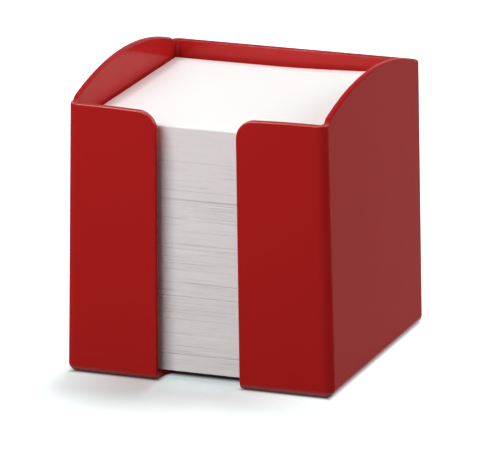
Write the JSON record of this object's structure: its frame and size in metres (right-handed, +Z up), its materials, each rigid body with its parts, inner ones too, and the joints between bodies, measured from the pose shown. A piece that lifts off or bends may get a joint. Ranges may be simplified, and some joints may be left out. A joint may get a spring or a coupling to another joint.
{
  "type": "memo note box",
  "caption": "Open-topped moulded box that holds a tall stack of loose square note sheets, with a front slot and a finger notch for taking notes out.",
  "frame": {"origin": "middle of the box's footprint, on the surface it stands on", "axes": "+Z up; -Y is the front with the slot and the finger notch; +X to the right seen from the front"},
  "size_m": [0.1006, 0.1014, 0.1069],
  "materials": {
    "box_plastic": "high gloss, injection moulded red polystyrene",
    "note_paper": "smooth uncoated white note paper, guillotined edges"
  },
  "bodies": {
    "box": {"holder": "box_plastic"},
    "note_stack": {"note_packet_01": "note_paper", "note_packet_02": "note_paper", "note_packet_03": "note_paper", "note_packet_04": "note_paper", "note_packet_05": "note_paper", "note_packet_06": "note_paper", "note_packet_07": "note_paper", "note_packet_08": "note_paper", "note_packet_09": "note_paper", "note_packet_10": "note_paper", "note_packet_11": "note_paper", "note_packet_12": "note_paper", "note_packet_13": "note_paper", "note_packet_14": "note_paper", "note_packet_15": "note_paper", "note_packet_16": "note_paper", "note_packet_17": "note_paper", "note_packet_18": "note_paper", "note_packet_19": "note_paper"},
    "fresh_packet": {"fresh_packet": "note_paper"},
    "top_note": {"top_note": "note_paper"}
  },
  "joints": [
    {"name": "note_stack_lift", "type": "slide", "parent": "box", "child": "note_stack", "axis": [0, 0, 1], "range_m": [0, 0.108]},
    {"name": "fresh_packet_lift", "type": "slide", "parent": "note_stack", "child": "fresh_packet", "axis": [0, 0, 1], "range_m": [0, 0.03]},
    {"name": "top_note_lift", "type": "slide", "parent": "fresh_packet", "child": "top_note", "axis": [0, 0, 1], "range_m": [0, 0.02]}
  ]
}
